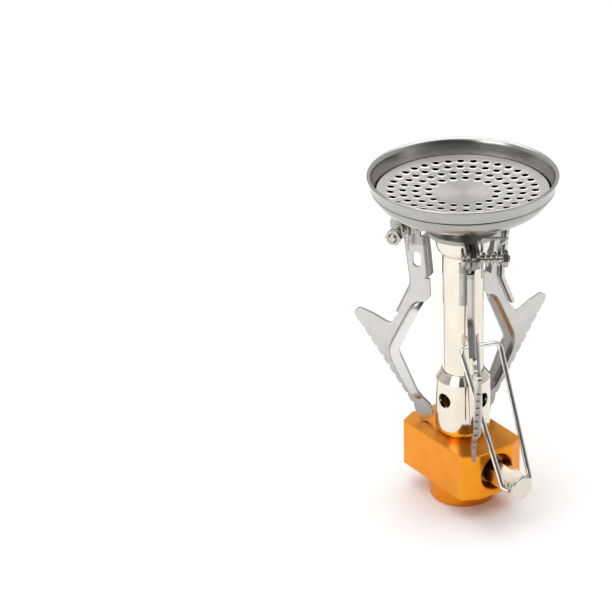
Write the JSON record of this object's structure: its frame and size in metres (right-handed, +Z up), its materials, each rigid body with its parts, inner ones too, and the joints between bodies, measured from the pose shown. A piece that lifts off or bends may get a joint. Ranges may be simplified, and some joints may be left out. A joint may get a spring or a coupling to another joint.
{
  "type": "canister stove",
  "caption": "Folding upright canister stove: dish burner on a mixing tube, anodised valve block with a wire-handled spindle and fold-down serrated pot supports.",
  "frame": {"origin": "centre of the canister collar's lower face, on the mixing tube's axis", "axes": "+Z up the mixing tube towards the burner, -Y along the valve spindle towards its knob"},
  "size_m": [0.0554, 0.0571, 0.0941],
  "materials": {
    "orange_anodised": "satin orange-gold anodised",
    "polished_nickel": "polished warm nickel plate",
    "spun_steel": "spun, fine circular brushing",
    "satin_steel": "satin stamped sheet",
    "bright_steel": "bright drawn wire and fasteners",
    "brass": "machined",
    "rubber": "matt black"
  },
  "bodies": {
    "stove_body": {"valve_body": "orange_anodised", "valve_probe": "brass", "canister_seal": "rubber", "gas_jet": "brass", "spindle_gland": "brass", "air_sleeve": "polished_nickel", "mixing_tube": "polished_nickel", "neck_socket": "polished_nickel", "burner_bowl": "spun_steel", "burner_plate": "spun_steel", "support_bracket": "satin_steel", "pivot_screw_left": "bright_steel", "torsion_spring_left": "bright_steel", "pivot_nut_left": "bright_steel", "pivot_screw_right": "bright_steel", "torsion_spring_right": "bright_steel", "pivot_nut_right": "bright_steel", "pivot_screw_front": "bright_steel", "torsion_spring_front": "bright_steel", "pivot_nut_front": "bright_steel"},
    "left_support": {"pot_support_left": "satin_steel"},
    "right_support": {"pot_support_right": "satin_steel"},
    "front_support": {"pot_support_front": "satin_steel"},
    "spindle_seal": {"spindle_o_ring": "rubber"},
    "control_spindle": {"spindle": "bright_steel", "control_knob": "polished_nickel"},
    "handle": {"wire_handle": "bright_steel"}
  },
  "joints": [
    {"name": "left_support_fold", "type": "hinge", "parent": "stove_body", "child": "left_support", "pos_m": [-0.00872, 0.01353, 0.0769], "axis": [0.8406, 0.5417, 0], "range_deg": [0, 125]},
    {"name": "right_support_fold", "type": "hinge", "parent": "stove_body", "child": "right_support", "pos_m": [0.01596, 0.00328, 0.0769], "axis": [0.0489, -0.9988, 0], "range_deg": [0, 126]},
    {"name": "front_support_fold", "type": "hinge", "parent": "stove_body", "child": "front_support", "pos_m": [-0.00735, -0.01437, 0.0769], "axis": [-0.8572, 0.515, 0], "range_deg": [0, 117]},
    {"name": "spindle_travel", "type": "slide", "parent": "stove_body", "child": "spindle_seal", "axis": [0, -1, 0], "range_m": [-0.0004, 0]},
    {"name": "spindle_turn", "type": "hinge", "parent": "spindle_seal", "child": "control_spindle", "pos_m": [0, -0.0242, 0.01285], "axis": [0, -1, 0], "range_deg": [-270, 0]},
    {"name": "handle_fold", "type": "hinge", "parent": "control_spindle", "child": "handle", "pos_m": [0, -0.0242, 0.01285], "axis": [1, 0, 0], "range_deg": [0, 130]}
  ],
  "couplings": [
    {"joint": "spindle_travel", "follows": "spindle_turn", "m_per_rad": 0.000079577}
  ]
}
